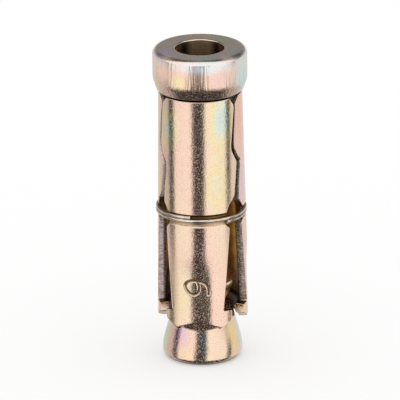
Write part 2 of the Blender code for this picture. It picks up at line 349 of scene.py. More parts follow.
def value_noise(x, y, seed):
    """Smooth noise from -1 to 1 over a wrapped grid of seeded values."""
    grid = np.random.default_rng(seed).uniform(-1, 1, (NOISE_CELLS, NOISE_CELLS))
    x0 = np.floor(x).astype(int)
    y0 = np.floor(y).astype(int)
    fx = x - x0
    fy = y - y0
    fx = fx * fx * (3 - 2 * fx)
    fy = fy * fy * (3 - 2 * fy)

    def corner(i, j):
        return grid[(x0 + i) % NOISE_CELLS, (y0 + j) % NOISE_CELLS]

    low = corner(0, 0) * (1 - fx) + corner(1, 0) * fx
    high = corner(0, 1) * (1 - fx) + corner(1, 1) * fx
    return low * (1 - fy) + high * fy


def fillet(before, corner, after, radius, steps):
    """Returns the points of an arc in the corner, shortened where a side is too short for it."""
    to_before = (before - corner).normalized()
    to_after = (after - corner).normalized()
    half_angle = to_before.angle(to_after) / 2
    if half_angle > NEARLY_STRAIGHT:
        return [corner]
    longest = LONGEST_FILLET_SHARE * min((before - corner).length, (after - corner).length)
    reach = min(radius / math.tan(half_angle), longest)
    radius = reach * math.tan(half_angle)
    centre = corner + (to_before + to_after).normalized() * (radius / math.sin(half_angle))
    start = corner + to_before * reach - centre
    end = corner + to_after * reach - centre
    sweep = start.angle_signed(end)
    return [centre + Matrix.Rotation(-sweep * i / steps, 2) @ start for i in range(steps + 1)]


def rounded(corners, steps=10, closed=True):
    """Returns an outline from corners of (x, y, fillet radius)."""
    outline = []
    for i, (x, y, radius) in enumerate(corners):
        corner = Vector((x, y))
        inside = closed or 0 < i < len(corners) - 1
        if radius and inside:
            before = Vector(corners[i - 1][:2])
            after = Vector(corners[(i + 1) % len(corners)][:2])
            outline += fillet(before, corner, after, radius, steps)
        else:
            outline.append(corner)
    return outline


def densified(outline, step):
    """Adds points along a closed outline so that none lie further apart than the step."""
    points = []
    for i, start in enumerate(outline):
        end = outline[(i + 1) % len(outline)]
        pieces = max(1, math.ceil((end - start).length / step))
        points += [start.lerp(end, k / pieces) for k in range(pieces)]
    return points


def quads(rows, columns, closed=False):
    """Returns the faces between rings of points. If closed, the last ring also meets the first."""
    faces = []
    for i in range(rows if closed else rows - 1):
        low = i * columns
        high = (i + 1) % rows * columns
        for k in range(columns):
            beside = (k + 1) % columns
            faces.append((low + k, low + beside, high + beside, high + k))
    return faces


def revolve(name, profile, steps, materials, is_bore, ripple=None):
    """Turns a closed profile of (radius, height) about Z, with the second material where it is the bore.

    A ripple adds to the radii, by radius, height and angle.
    """
    radius = np.array([p.x for p in profile])[:, None]
    height = np.array([p.y for p in profile])[:, None]
    angle = np.arange(steps)[None, :] * 2 * math.pi / steps
    radius = radius + np.zeros_like(angle)
    height = height + np.zeros_like(angle)
    if ripple:
        radius = radius + ripple(radius, height, angle)
    points = np.stack([radius * np.sin(angle), -radius * np.cos(angle), height], axis=-1).reshape(-1, 3)
    finish = []
    for i, start in enumerate(profile):
        middle = start.lerp(profile[(i + 1) % len(profile)], 0.5)
        finish += [int(is_bore(middle))] * steps
    return mesh_object(name, points, quads(len(profile), steps, closed=True), materials, finish)


def make_ferrule(plate, bore):
    """The collar, with its rounded rim, bolt hole and rolled-in skirt."""
    plate_underside = TOTAL_HEIGHT - PLATE_THICKNESS
    lip_top = FERRULE_BOTTOM + LIP_THICKNESS
    corners = [
        (HOLE_RADIUS, plate_underside, 0.2 * MM),
        (COUNTERBORE_RADIUS, plate_underside, 0.4 * MM),
        (COUNTERBORE_RADIUS, lip_top, 0.05 * MM),
        (LIP_RADIUS, lip_top, 0.15 * MM),
        (LIP_RADIUS, FERRULE_BOTTOM, 0.15 * MM),
        (FERRULE_RADIUS - ROLL_DEPTH, FERRULE_BOTTOM, 0.12 * MM),
        (FERRULE_RADIUS, FERRULE_BOTTOM + ROLL_HEIGHT, ROLL_RADIUS),
        (FERRULE_RADIUS, TOTAL_HEIGHT, TOP_ROUND),
        (HOLE_RADIUS, TOTAL_HEIGHT, HOLE_ROUND),
    ]
    profile = densified(rounded(corners), FERRULE_POINT_SPACING)

    def is_bore(point):
        return point.x < FERRULE_RADIUS - ROLL_DEPTH and point.y < TOTAL_HEIGHT - HOLE_ROUND

    ferrule = revolve("ferrule_turned", profile, FERRULE_COLUMNS, (plate, bore), is_bore)
    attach(ferrule, "ferrule")
    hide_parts("ferrule")


def make_cone_nut(plate, bore):
    """The expander nut, with its cone, waist, head and a cut M6 thread through it."""
    cone_top = CONE_START_HEIGHT + CONE_LENGTH
    mouth_radius = NUT_BORE_RADIUS + NUT_BORE_CHAMFER
    corners = [
        (mouth_radius, 0, 0.06 * MM),
        (NUT_BASE_RADIUS, 0, NUT_BASE_FILLET),
        (NUT_BASE_RADIUS, CONE_START_HEIGHT, CONE_BLEND_RADIUS),
        (NUT_BASE_RADIUS - CONE_LENGTH * CONE_SLOPE, cone_top, 0.3 * MM),
        (NUT_WAIST_RADIUS, cone_top + NUT_WAIST_HEIGHT, 0.3 * MM),
        (NUT_HEAD_RADIUS, NUT_HEIGHT - NUT_HEAD_THICKNESS, 0.15 * MM),
        (NUT_HEAD_RADIUS, NUT_HEIGHT, 0.12 * MM),
        (mouth_radius, NUT_HEIGHT, 0.06 * MM),
        (NUT_BORE_RADIUS, NUT_HEIGHT - NUT_BORE_CHAMFER, 0),
        (NUT_BORE_RADIUS, NUT_BORE_CHAMFER, 0),
    ]
    profile = densified(rounded(corners), NUT_POINT_SPACING)

    def thread(radius, height, angle):
        turns = height / THREAD_PITCH - angle / (2 * math.pi)
        wave = np.abs(2 * (turns - np.floor(turns + 0.5)))
        depth = THREAD_DEPTH * np.clip(THREAD_STEEPNESS * wave - THREAD_CREST, 0, 1)
        in_bore = np.clip(1 - (radius - NUT_BORE_RADIUS) / NUT_BORE_CHAMFER, 0, 1)
        return depth * in_bore * (radius < mouth_radius)

    def is_bore(point):
        return point.x < mouth_radius

    nut = revolve("cone_nut_turned", profile, NUT_COLUMNS, (plate, bore), is_bore, ripple=thread)
    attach(nut, "cone_nut")
    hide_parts("cone_nut")


def side_outline(leg, seam):
    """Returns one side of a segment as (radians, height) on the shell, rounded at its corners."""
    corners = []
    for above, degrees in leg:
        corners.append((math.radians(degrees) * SHELL_RADIUS, FOOT_UNDERSIDE + above, LEG_CORNER_ROUND))
    for share, degrees in reversed(seam):
        height = SHOULDER - share * UPPER_LENGTH
        corners.append((math.radians(degrees) * SHELL_RADIUS, height, SEAM_CORNER_ROUND))
    outline = rounded(corners, steps=6, closed=False)
    return [(point.x / SHELL_RADIUS, point.y) for point in outline]


def side_angle(outline, heights):
    """Reads a side's angle, in radians, at each height."""
    known = sorted((height, angle) for angle, height in outline)
    return np.interp(heights, *zip(*known))


def segment_levels(sides, fine_band):
    """Returns the heights, outer and inner radii and edge insets of a segment's cross-sections, upwards."""
    head_bottom = FERRULE_BOTTOM + LIP_THICKNESS + RUNNING_GAP
    outer = rounded(
        [
            (SHELL_RADIUS, FOOT_UNDERSIDE, 0),
            (SHELL_RADIUS, GROOVE_BOTTOM, 0.12 * MM),
            (GROOVE_RADIUS, GROOVE_BOTTOM + GROOVE_WALL, 0.15 * MM),
            (GROOVE_RADIUS, GROOVE_TOP - GROOVE_WALL, 0.15 * MM),
            (SHELL_RADIUS, GROOVE_TOP, 0.12 * MM),
            (SHELL_RADIUS, SHOULDER, 0.2 * MM),
            (NECK_RADIUS, SHOULDER + HEIGHT_MARGIN, 0.2 * MM),
            (NECK_RADIUS, head_bottom, 0.1 * MM),
            (NECK_HEAD_RADIUS, head_bottom + 0.05 * MM, 0.1 * MM),
            (NECK_HEAD_RADIUS, TOTAL_HEIGHT - PLATE_THICKNESS - RUNNING_GAP, 0),
        ],
        steps=5,
        closed=False,
    )
    levels = []
    side_heights = {height for side in sides for _, height in side}
    asked_heights = side_heights | set(np.arange(*fine_band, STAMP_LEVEL_STEP))
    for start, end in zip(outer, outer[1:]):
        between = {start.y}
        rise = end.y - start.y
        if rise > LEAST_RISE:
            steps = math.ceil(rise / LEVEL_STEP)
            between |= {start.y + rise * k / steps for k in range(steps)}
            between |= {height for height in asked_heights if start.y < height < end.y}
        for height in sorted(between):
            share = (height - start.y) / rise if rise > 0 else 0
            levels.append((height, start.x + share * (end.x - start.x)))
    levels.append((outer[-1].y, outer[-1].x))
    kept = levels[:1]
    for level in levels[1:]:
        if max(abs(a - b) for a, b in zip(level, kept[-1])) >= LEAST_SPACING:
            kept.append(level)
    heights, radii = np.array(kept).T
    joggle_top = SHOULDER - RUNNING_GAP
    joggle_bottom = joggle_top - (SHELL_INNER_RADIUS - NECK_INNER_RADIUS)
    inner = np.interp(
        heights,
        [
            FOOT_UNDERSIDE, FOOT_UNDERSIDE + FOOT_CORNER_HEIGHT, FOOT_TOP - FOOT_INNER_STEP_HEIGHT, FOOT_TOP,
            joggle_bottom, joggle_top,
        ],
        [
            FOOT_INNER_RADIUS + FOOT_TAPER, FOOT_INNER_RADIUS + FOOT_TAPER, FOOT_INNER_RADIUS,
            SHELL_INNER_RADIUS, SHELL_INNER_RADIUS, NECK_INNER_RADIUS,
        ],
    )
    end_distance = np.minimum(heights - heights[0], heights[-1] - heights)
    share = np.clip(end_distance / EDGE_ROUND, 0, 1)
    inset = EDGE_ROUND * (1 - np.sqrt(1 - (1 - share) ** 2))
    return heights, radii, inner, inset


def numeral_path():
    """The numeral's line, smoothed, as (round the shell, height) points."""
    line = np.array(NUMERAL_LINE) * MM + (0, NUMERAL_MIDDLE)
    steps = np.arange(len(line))
    finer = np.linspace(0, len(line) - 1, NUMERAL_POINTS_PER_RUN * len(line))
    line = np.stack([np.interp(finer, steps, line[:, k]) for k in (0, 1)], axis=-1)
    for _ in range(NUMERAL_SMOOTHINGS):
        line[1:-1] = (line[:-2] + 2 * line[1:-1] + line[2:]) / 4
    return line


def distance_to_path(x, y, path):
    """Least distance from each point to a line of short straight runs."""
    best = np.full(x.shape, np.inf)
    for (x0, y0), (x1, y1) in zip(path, path[1:]):
        dx = x1 - x0
        dy = y1 - y0
        length = dx * dx + dy * dy
        share = np.clip(((x - x0) * dx + (y - y0) * dy) / length, 0, 1)
        best = np.minimum(best, np.hypot(x - x0 - share * dx, y - y0 - share * dy))
    return best


def on_sides(angle, left, right):
    """Says which points lie on a segment's sheared sides."""
    return (np.abs(angle - left) < SAME_ANGLE) | (np.abs(angle - right) < SAME_ANGLE)


def segment_points(number, stamped):
    """Returns a segment's points as arrays of level by column: angle, radius and height.

    With them come the columns on its outside, the angles of its sides and the finish of its faces.
    """
    sides = (side_outline(LEFT_LEG, LEFT_SEAM), side_outline(RIGHT_LEG, RIGHT_SEAM))
    fine_band = (NUMERAL_MIDDLE - NUMERAL_REACH, NUMERAL_MIDDLE + NUMERAL_REACH) if stamped else (0, 0)
    heights, outer, inner, inset = segment_levels(sides, fine_band)
    rows = len(heights)
    left = side_angle(sides[0], heights)
    right = side_angle(sides[1], heights)
    noise_row = np.full(rows, SIDE_NOISE_ROW)
    wave = SIDE_WAVE_DEPTH * value_noise(heights / SIDE_WAVE_LENGTH, noise_row, SIDE_SEED + number)
    left = left + wave / SHELL_RADIUS
    right = right + wave[::-1] / SHELL_RADIUS

    middle_edge = math.radians(EVEN_COLUMNS_REACH)
    middle_step = math.radians(STAMP_COLUMN_STEP if stamped else COLUMN_STEP)
    middle = np.arange(-middle_edge, middle_edge, middle_step)
    side_share = np.linspace(0, 1, SIDE_COLUMNS, endpoint=False)[None, :]
    round_share = np.linspace(0, math.pi / 2, ROUND_COLUMNS)[None, :]
    corner_reach = EDGE_ROUND * np.sin(round_share)
    corner_drop = EDGE_ROUND * (1 - np.cos(round_share))
    cut_share = np.linspace(0, 1, CUT_COLUMNS)[None, 1:-1]

    left_cut = (left + inset / SHELL_RADIUS)[:, None]
    right_cut = (right - inset / SHELL_RADIUS)[:, None]
    outside = (outer - inset)[:, None]
    inside = (inner + inset)[:, None]
    first = left_cut + EDGE_ROUND / SHELL_RADIUS
    last = right_cut - EDGE_ROUND / SHELL_RADIUS

    outer_angle = np.concatenate(
        [
            first + (-middle_edge - first) * side_share,
            middle + np.zeros((rows, 1)),
            (last + (middle_edge - last) * side_share)[:, ::-1],
        ],
        axis=1,
    )
    outer_radius = outside + np.zeros_like(outer_angle)
    right_corner_angle = last + corner_reach / SHELL_RADIUS
    left_corner_angle = first - corner_reach / SHELL_RADIUS
    outer_corner_radius = outside - corner_drop
    inner_corner_radius = inside + corner_drop
    cut_top = outside - EDGE_ROUND
    cut_bottom = inside + EDGE_ROUND
    cut_radius = cut_top + (cut_bottom - cut_top) * cut_share
    inner_angle = last + (first - last) * np.linspace(0, 1, INNER_COLUMNS)[None, :]
    inner_radius = inside + np.zeros_like(inner_angle)
    angle = np.concatenate(
        [
            outer_angle,
            right_corner_angle[:, 1:],
            right_cut + np.zeros_like(cut_radius),
            right_corner_angle[:, :0:-1],
            inner_angle,
            left_corner_angle[:, 1:],
            left_cut + np.zeros_like(cut_radius),
            left_corner_angle[:, :0:-1],
        ],
        axis=1,
    )
    radius = np.concatenate(
        [
            outer_radius,
            outer_corner_radius[:, 1:],
            cut_radius,
            inner_corner_radius[:, :0:-1],
            inner_radius,
            inner_corner_radius[:, 1:],
            cut_radius[:, ::-1],
            outer_corner_radius[:, :0:-1],
        ],
        axis=1,
    )
    height = heights[:, None] + np.zeros_like(angle)
    on_outer = np.arange(angle.shape[1]) < outer_angle.shape[1]

    in_groove = (heights > GROOVE_BOTTOM + GROOVE_WALL_PLATED * GROOVE_WALL) & (heights < GROOVE_TOP)
    on_neck = heights > SHOULDER
    foot_step = heights > FOOT_TOP - FOOT_STEP_HEIGHT - HEIGHT_MARGIN
    foot_step &= heights < FOOT_TOP - HEIGHT_MARGIN
    in_notch = (heights > GROOVE_BOTTOM - NOTCH_BELOW) & (heights < GROOVE_TOP + NOTCH_ABOVE)
    outer_finish = np.where(in_groove | on_neck, RECESS, PLATE)
    cut_finish = np.where(foot_step | in_notch, RECESS, np.where(heights < FOOT_TOP, PLATE, CUT))
    mid = rows // 2
    on_cut = on_sides(angle[mid], left_cut[mid], right_cut[mid])
    on_rim = ~on_outer & ~on_cut & (radius[mid] > (outer[mid] + inner[mid]) / 2)
    finish = np.full((rows - 1, angle.shape[1]), RECESS)
    finish[:, on_outer] = outer_finish[:-1, None]
    finish[:, on_cut] = cut_finish[:-1, None]
    finish[:, on_rim] = PLATE
    return angle, radius, height, on_outer, (left_cut, right_cut), finish


def shaped_segment(number, stamped):
    """Adds what was pressed, sheared or stamped into a segment.

    Returns its points, measured from its pivot, its faces and their finish, and the depth of the stamp.
    """
    angle, radius, height, on_outer, (left_cut, right_cut), finish = segment_points(number, stamped)

    turned = np.degrees(angle)
    flat_share = np.clip((LEG_CURVED_ABOVE - height) / (LEG_CURVED_ABOVE - LEG_FLAT_BELOW), 0, 1)
    flat_share = flat_share * flat_share * (3 - 2 * flat_share)
    flat_reach = np.where(turned > LEG_FLAT_CENTRE, LEG_FLAT_REACH_RIGHT, LEG_FLAT_REACH_LEFT)
    flattened = np.exp(-(((turned - LEG_FLAT_CENTRE) / flat_reach) ** 2))
    radius = radius - LEG_FLATTENING * flat_share * flattened * on_outer[None, :]

    toe_share = np.clip(1 - (turned / TOE_BEVEL_REACH) ** 2, 0, 1)
    above = height - FOOT_UNDERSIDE
    bevel = np.clip(1 - above / (TOE_BEVEL_HEIGHT * np.clip(toe_share, LEAST_TOE_SHARE, 1)), 0, 1)
    foot_round = FOOT_ROUNDS[number - 1]
    low_share = np.clip(1 - above / foot_round, 0, 1)
    rounding = foot_round * (1 - np.sqrt(1 - low_share**2)) * (1 - toe_share)
    outward_share = np.clip((radius - FOOT_INNER_RADIUS) / (SHELL_RADIUS - FOOT_INNER_RADIUS), 0, 1)
    bevelled = TOE_BEVEL_DEPTH * bevel * (toe_share > 0) * on_outer[None, :]
    radius = radius - bevelled - rounding * outward_share
    shift = FOOT_TIP_RISES[number - 1] * (1 - toe_share) - TOE_DROP * toe_share
    height = height + shift * np.clip(1 - above / TOE_FADE_HEIGHT, 0, 1)

    stamp = np.zeros_like(radius)
    if stamped:
        distance = distance_to_path(angle * SHELL_RADIUS, height, numeral_path())
        groove = np.clip(1 - distance / NUMERAL_STROKE, 0, 1)
        stamp = groove * groove * (3 - 2 * groove) * on_outer[None, :]
        radius = radius - NUMERAL_DEPTH * stamp

    on_cut = ~on_outer[None, :] & on_sides(angle, left_cut, right_cut)
    outward = np.where(angle > 0, 1, -1)
    serration = value_noise(height / TEETH_HEIGHT, radius / TEETH_LENGTH, TEETH_SEED + number)
    grain = value_noise(height / TORN_GRAIN_SIZE, radius / TORN_GRAIN_SIZE, TORN_SEED + number)
    teeth = TEETH_DEPTHS[number - 1] * serration + TORN_DEPTHS[number - 1] * grain
    sheared = on_cut & (height > FOOT_TOP + TEETH_START)
    angle = angle + outward * sheared * teeth / SHELL_RADIUS

    x = radius * np.sin(angle)
    y = NECK_RADIUS - radius * np.cos(angle)
    z = height - PIVOT_HEIGHT
    points = np.stack([x, y, z], axis=-1).reshape(-1, 3)
    rows, columns = angle.shape
    ends = [tuple(range(columns - 1, -1, -1)), tuple((rows - 1) * columns + k for k in range(columns))]
    return points, ends + quads(rows, columns), [CUT, RECESS] + list(finish.ravel()), stamp.ravel()


def make_segments(plates, cuts, recess):
    """The three shield segments, with their sheared edges and recesses in their own finishes."""
    for number, (plate, cut) in enumerate(zip(plates, cuts), start=1):
        points, faces, finish, stamp = shaped_segment(number, stamped=number == 1)
        turn = Matrix.Rotation(math.radians(SEGMENT_ANGLE * (number - 1)), 4, "Z")
        lean = REST_LEAN + LOOSENESS[number - 1]
        place = turn @ Matrix.Translation((0, -NECK_RADIUS, PIVOT_HEIGHT)) @ Matrix.Rotation(-lean, 4, "X")
        matrix = np.array(place)
        points = points @ matrix[:3, :3].T + matrix[:3, 3]
        segment = mesh_object(f"segment_{number}_pressed", points, faces, (plate, cut, recess), finish)
        # The stamp's depth at each point, which the plate's material turns into painted shade in the
        # numeral's groove.
        segment.data.attributes.new("stamp", "FLOAT", "POINT").data.foreach_set("value", stamp)
        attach(segment, f"segment_{number}")
        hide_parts(f"shield_segment_{number}")


def tube(centres, radius, sides):
    """Returns the points and faces of a closed tube round a line of points."""
    centres = np.array(centres)
    tangent = np.gradient(centres, axis=0)
    tangent /= np.linalg.norm(tangent, axis=1)[:, None]
    outward = centres * [1, 1, 0]
    outward /= np.linalg.norm(outward, axis=1)[:, None]
    up = np.cross(tangent, outward)
    up /= np.linalg.norm(up, axis=1)[:, None]
    side = np.cross(up, tangent)
    turn = np.arange(sides) * 2 * math.pi / sides
    ring = side[:, None, :] * np.cos(turn)[None, :, None] + up[:, None, :] * np.sin(turn)[None, :, None]
    points = (centres[:, None, :] + radius * ring).reshape(-1, 3)
    count = len(centres)
    ends = [tuple(range(sides)), tuple((count - 1) * sides + k for k in reversed(range(sides)))]
    return points, ends + [(a, d, c, b) for a, b, c, d in quads(count, sides)]


def make_wire_ring(material):
    """The sprung wire, in one piece for each segment's share of the ring."""
    sweep = 360 + WIRE_OVERLAP_ANGLE
    middle = GROOVE_BOTTOM + GROOVE_WIDTH / 2 + WIRE_LIFT
    ring_radius = RING_REACH - WIRE_RADIUS
    first = WIRE_END_ANGLE - sweep

    def centre(degrees):
        turned = degrees - first
        height = middle + WIRE_PITCH * (turned - sweep / 2) / 360
        angle = math.radians(degrees)
        return (ring_radius * math.sin(angle), -ring_radius * math.cos(angle), height)

    for number in (1, 2, 3):
        middle_angle = SEGMENT_ANGLE * (number - 1)
        points = np.zeros((0, 3))
        faces = []
        for turn in (-2, -1, 0):
            low = max(first, middle_angle - SEGMENT_ANGLE / 2 + 360 * turn)
            high = min(WIRE_END_ANGLE, middle_angle + SEGMENT_ANGLE / 2 + 360 * turn)
            if high - low < 1:
                continue
            steps = max(8, math.ceil((high - low) / WIRE_STEP_ANGLE))
            centres = [centre(degrees) for degrees in np.linspace(low, high, steps + 1)]
            new_points, new_faces = tube(centres, WIRE_RADIUS, WIRE_SIDES)
            faces += [tuple(len(points) + k for k in face) for face in new_faces]
            points = np.concatenate([points, new_points])
        arc = mesh_object(f"wire_ring_{number}", points, faces, (material,))
        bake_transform(arc)
        if number == 1:
            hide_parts("wire_ring")


def grey(value):
    """A grey of the given brightness."""
    return (value, value, value)


def rgba(colour):
    """Adds full opacity to a colour, and leaves a socket as it is."""
    return colour if isinstance(colour, bpy.types.NodeSocket) else (*colour, 1)


class Graph:
    """A small helper that adds shader nodes and joins them."""

    def __init__(self, tree):
        self.tree = tree

    def feed(self, node, inputs):
        """Links sockets to a node's inputs, and sets plain values on them."""
        for key, value in inputs.items():
            if isinstance(value, bpy.types.NodeSocket):
                self.tree.links.new(value, node.inputs[key])
            else:
                node.inputs[key].default_value = value

    def node(self, kind, inputs=None, **settings):
        made = self.tree.nodes.new(kind)
        for name, value in settings.items():
            setattr(made, name, value)
        self.feed(made, inputs or {})
        return made

    def math(self, operation, a, b=0.0, c=0.0):
        return self.node("ShaderNodeMath", {0: a, 1: b, 2: c}, operation=operation).outputs[0]

    def scaled(self, a, b, added=0.0):
        """Returns a times b, plus what is added."""
        return self.math("MULTIPLY_ADD", a, b, added)

    def mix(self, factor, a, b, blend="MIX"):
        inputs = {0: factor, 6: rgba(a), 7: rgba(b)}
        return self.node("ShaderNodeMix", inputs, data_type="RGBA", blend_type=blend).outputs[2]

    def remap(self, value, low, high, to_low=0.0, to_high=1.0, smooth=False):
        inputs = {"Value": value, 1: low, 2: high, 3: to_low, 4: to_high}
        kind = "SMOOTHSTEP" if smooth else "LINEAR"
        return self.node("ShaderNodeMapRange", inputs, interpolation_type=kind).outputs[0]

    def ramp(self, factor, stops):
        made = self.node("ShaderNodeValToRGB", {0: factor})
        elements = made.color_ramp.elements
        while len(elements) > 1:
            elements.remove(elements[-1])
        elements[0].position = stops[0][0]
        elements[0].color = rgba(stops[0][1])
        for position, colour in stops[1:]:
            elements.new(position).color = rgba(colour)
        return made.outputs[0]

    def mapping(self, place, scale, shift=(0, 0, 0)):
        inputs = {"Vector": place, "Location": shift, "Scale": scale}
        return self.node("ShaderNodeMapping", inputs).outputs[0]

    def noise(self, place, scale, detail=2.0, roughness=0.5):
        inputs = {"Vector": place, "Scale": scale, "Detail": detail, "Roughness": roughness}
        return self.node("ShaderNodeTexNoise", inputs).outputs[0]

    def length(self, vector):
        return self.node("ShaderNodeVectorMath", {0: vector}, operation="LENGTH").outputs["Value"]

    def bump(self, height, distance, strength=1.0):
        inputs = {"Strength": strength, "Distance": distance, "Height": height}
        return self.node("ShaderNodeBump", inputs).outputs[0]


def new_material(name):
    """Returns a material, its graph, its Principled shader and its object coordinates."""
    material = bpy.data.materials.new(name)
    material.use_nodes = True
    graph = Graph(material.node_tree)
    shader = material.node_tree.nodes["Principled BSDF"]
    place = graph.node("ShaderNodeTexCoord").outputs["Object"]
    return material, graph, shader, place


def patch(graph, place, centre, across, along):
    """Returns a soft patch, 1 at its centre and 0 outside. Its place and half sizes are in millimetres."""
    scale = (1 / (across * MM), 1 / (across * MM), 1 / (along * MM))
    shift = tuple(-c * MM * k for c, k in zip(centre, scale))
    return graph.remap(graph.length(graph.mapping(place, scale, shift)), 1.0, 0.0, smooth=True)


def zinc_colour(graph, place, seed, patches, spread):
    """Interference colour, as the passivate's thickness wanders over the plate and pools in some places."""
    wander = graph.noise(graph.mapping(place, (1, 1, 0.5), seed), WANDER_SCALE, roughness=0.45)
    thickness = graph.scaled(wander, spread, 0.5 - spread / 2)
    for *area, change in patches:
        thickness = graph.scaled(patch(graph, place, *area), change, thickness)
    return graph.ramp(thickness, PLATE_COLOURS)


def washed(graph, place, colour, washes):
    """Lays washes of other colours over a colour; some are the plate's own colour, others painted shade or
    painted highlight.
    """
    for *area, wash, strength in washes:
        share = graph.scaled(patch(graph, place, *area), strength)
        colour = graph.mix(share, colour, wash)
    return colour


def grained(graph, shader, place, tilt, scale, turned=False):
    """Gives a surface the fine pits and ripples of plated steel, and the ferrule its fine upright lines.

    Returns the noise of the pits.
    """
    fine = graph.noise(place, scale, roughness=0.6)
    broad = graph.noise(place, scale * BROAD_GRAIN)
    height = graph.scaled(broad, BROAD_DEPTH, fine)
    if turned:
        up = graph.node("ShaderNodeSeparateXYZ", {0: place}).outputs[2]
        depth = graph.remap(up, TOTAL_HEIGHT - TOP_ROUND, TOTAL_HEIGHT, TURNING_DEPTH, 0.0)
        lines = graph.noise(graph.mapping(place, TURNING_SCALE), 1, detail=1)
        height = graph.scaled(lines, depth, height)
    graph.feed(shader, {"Normal": graph.bump(height, tilt * GRAIN_DEPTH)})
    return fine


def sheltered(graph, colour, reach, dark):
    """Paints shade into a colour in gaps and corners narrower than the reach, where ambient occlusion finds
    them.
    """
    occlusion = graph.node("ShaderNodeAmbientOcclusion", {"Distance": reach}, samples=SHELTER_SAMPLES)
    return graph.mix(graph.remap(occlusion.outputs["AO"], 0.3, 0.85), dark, colour)


def zinc_plate(
    name, seed, patches, washes=(), roughness=0.16, tilt=0.6, turned=False, spread=1,
    pits_from=0.5, matt_pits=0.64, matt=(),
):
    """Yellow zinc plate: soft rainbow colour over steel with fine matt pits.

    Patches, washes and matt places are each a centre and two half sizes in millimetres, then a change of
    thickness, a colour and strength, or a share.
    """
    material, graph, shader, place = new_material(name)
    colour = zinc_colour(graph, place, seed, patches, spread)
    colour = washed(graph, place, colour, washes)
    fine = grained(graph, shader, place, tilt, PLATE_GRAIN_SCALE, turned)
    speck = graph.remap(fine, 0.3, 0.45, SPECK_TONE, 1.0)
    speck_colour = graph.node("ShaderNodeCombineColor", {0: speck, 1: speck, 2: speck}).outputs[0]
    colour = graph.mix(1.0, colour, speck_colour, "MULTIPLY")
    # Painted shade: the stamped numeral's groove is darkened towards brown by its depth.
    stamp = graph.node("ShaderNodeAttribute", attribute_name="stamp").outputs["Fac"]
    colour = graph.mix(graph.scaled(stamp, STAMP_SHADE_STRENGTH), colour, PAINTED_STAMP_SHADE)
    # Painted shade in gaps and corners, where ambient occlusion finds them.
    colour = sheltered(graph, colour, PLATE_SHELTER, PAINTED_CREVICE_SHADE)
    wear = graph.noise(place, WEAR_SCALE, detail=3)
    rough = graph.remap(wear, 0.3, 0.7, roughness * 0.8, roughness * 1.25)
    pits = graph.noise(place, PIT_SCALE, detail=1)
    metallic = graph.remap(pits, pits_from, PITS_FULL, 1.0, matt_pits)
    for *area, share in matt:
        duller = graph.scaled(patch(graph, place, *area), -share, 1.0)
        metallic = graph.scaled(metallic, duller)
    graph.feed(shader, {"Base Color": colour, "Roughness": rough, "Metallic": metallic})
    return material


def sheared_zinc(name, torn_tones, burnished_tones, torn_inside, shelter, metallic):
    """A sheared face of the strip: burnished with fine teeth near the outside, torn and darker inside."""
    material, graph, shader, place = new_material(name)
    teeth = graph.noise(graph.mapping(place, TOOTH_SCALE), 1, roughness=0.6)
    specks = graph.noise(place, PLATE_GRAIN_SCALE, roughness=0.7)
    torn = graph.ramp(specks, tuple(zip((0.36, 0.5, 0.64), torn_tones)))
    burnished = graph.ramp(teeth, tuple(zip((0.38, 0.5, 0.6), burnished_tones)))
    flat = graph.node("ShaderNodeVectorMath", {0: place, 1: (1, 1, 0)}, operation="MULTIPLY").outputs[0]
    outside = graph.remap(graph.length(flat), torn_inside, torn_inside + TORN_FADE)
    # Painted shade, reddish brown, where the sheared face lies in a narrow seam or corner.
    colour = sheltered(graph, graph.mix(outside, torn, burnished), shelter, PAINTED_SEAM_SHADE)
    rough = graph.remap(specks, 0.35, 0.65, 0.45, 0.28)
    normal = graph.bump(graph.scaled(teeth, TOOTH_DEPTH, specks), SHEARED_TILT * GRAIN_DEPTH)
    graph.feed(shader, {"Base Color": colour, "Roughness": rough, "Metallic": metallic, "Normal": normal})
    return material


def dull_zinc(name, light, dark, roughness, washes):
    """Plate on a rough or sheltered face: darker, browner and duller, in uneven blotches."""
    material, graph, shader, place = new_material(name)
    blotch = graph.noise(place, BLOTCH_SCALE, detail=3, roughness=0.6)
    colour = washed(graph, place, graph.ramp(blotch, ((0.32, dark), (0.68, light))), washes)
    # Painted shade in gaps and corners, where ambient occlusion finds them.
    colour = sheltered(graph, colour, DULL_SHELTER, PAINTED_CREVICE_SHADE)
    grained(graph, shader, place, DULL_TILT, DULL_GRAIN_SCALE)
    rough = graph.remap(blotch, 0.3, 0.7, roughness * 1.2, roughness * 0.85)
    graph.feed(shader, {"Base Color": colour, "Roughness": rough, "Metallic": 1})
    return material


def wire_finish():
    """Drawn spring wire, with fine pits."""
    material, graph, shader, place = new_material("drawn_wire")
    tone = graph.noise(place, WIRE_TONE_SCALE, detail=3)
    colour = graph.ramp(tone, ((0.3, (0.48, 0.39, 0.30)), (0.7, (0.92, 0.81, 0.68))))
    rough = graph.remap(tone, 0.3, 0.7, 0.15, 0.27)
    normal = graph.bump(graph.noise(place, WIRE_GRAIN_SCALE), WIRE_GRAIN_DEPTH, strength=0.2)
    graph.feed(shader, {"Base Color": colour, "Roughness": rough, "Metallic": 1, "Normal": normal})
    return material


def make_camera():
    """The photograph's view: a long lens, a little above the anchor and round to its right."""
    data = bpy.data.cameras.new("camera")
    camera = link(bpy.data.objects.new("camera", data))
    azimuth = math.radians(CAMERA_AZIMUTH)
    elevation = math.radians(CAMERA_ELEVATION)
    level = math.cos(elevation)
    back = Vector((math.sin(azimuth) * level, -math.cos(azimuth) * level, math.sin(elevation)))
    camera.rotation_mode = "QUATERNION"
    camera.location = Vector(CAMERA_AIM) * MM + back * CAMERA_DISTANCE * MM
    roll = Matrix.Rotation(math.radians(CAMERA_ROLL), 3, "Z").to_quaternion()
    camera.rotation_quaternion = (-back).to_track_quat("-Z", "Y") @ roll
    data.sensor_width = SENSOR_WIDTH
    data.lens = PIXELS_PER_MM * SENSOR_WIDTH / FRAME_PIXELS * CAMERA_DISTANCE
    data.clip_start = 0.05
    data.clip_end = 20
    bpy.context.scene.camera = camera


